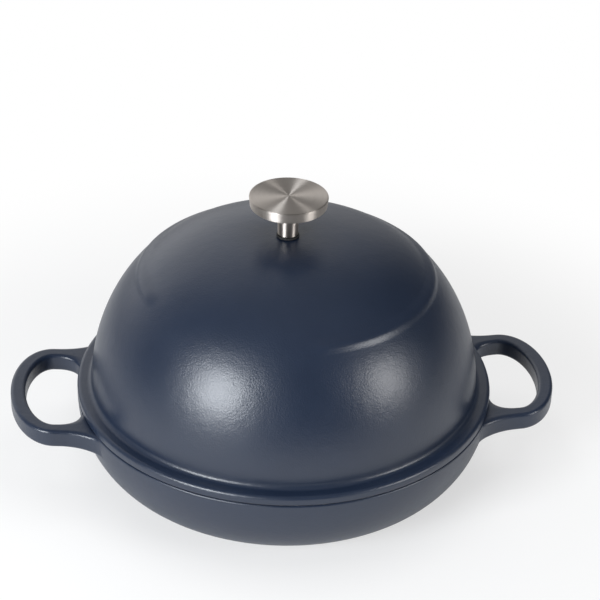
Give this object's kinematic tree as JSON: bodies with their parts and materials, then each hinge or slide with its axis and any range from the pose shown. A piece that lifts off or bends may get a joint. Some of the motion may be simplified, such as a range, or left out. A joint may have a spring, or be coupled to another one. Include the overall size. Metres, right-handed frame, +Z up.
{
  "type": "baking dish with lid",
  "caption": "Round enamelled cast iron baking dish with loop handles and a tall domed lid that lifts off by its steel knob, for baking under cover.",
  "frame": {"origin": "centre of the dish's flat foot, on the surface it stands on", "axes": "+Z up through the knob, +X along the two handles, -Y to the front"},
  "size_m": [0.351, 0.266, 0.189],
  "materials": {
    "enamelled_iron": "satin navy enamel outside, matt black enamel inside and on the rim",
    "brushed_steel": "turned and brushed in rings",
    "screw_steel": "bright plain",
    "gasket_rubber": "matt black"
  },
  "bodies": {
    "dish": {"dish": "enamelled_iron"},
    "lid": {"lid": "enamelled_iron", "knob_disc": "brushed_steel", "knob_stem": "brushed_steel", "knob_gasket": "gasket_rubber", "knob_screw": "screw_steel", "flat_washer": "screw_steel", "lock_washer": "screw_steel"}
  },
  "joints": [
    {"name": "lid_lift", "type": "slide", "parent": "dish", "child": "lid", "axis": [0, 0, 1], "range_m": [0, 0.115]}
  ]
}
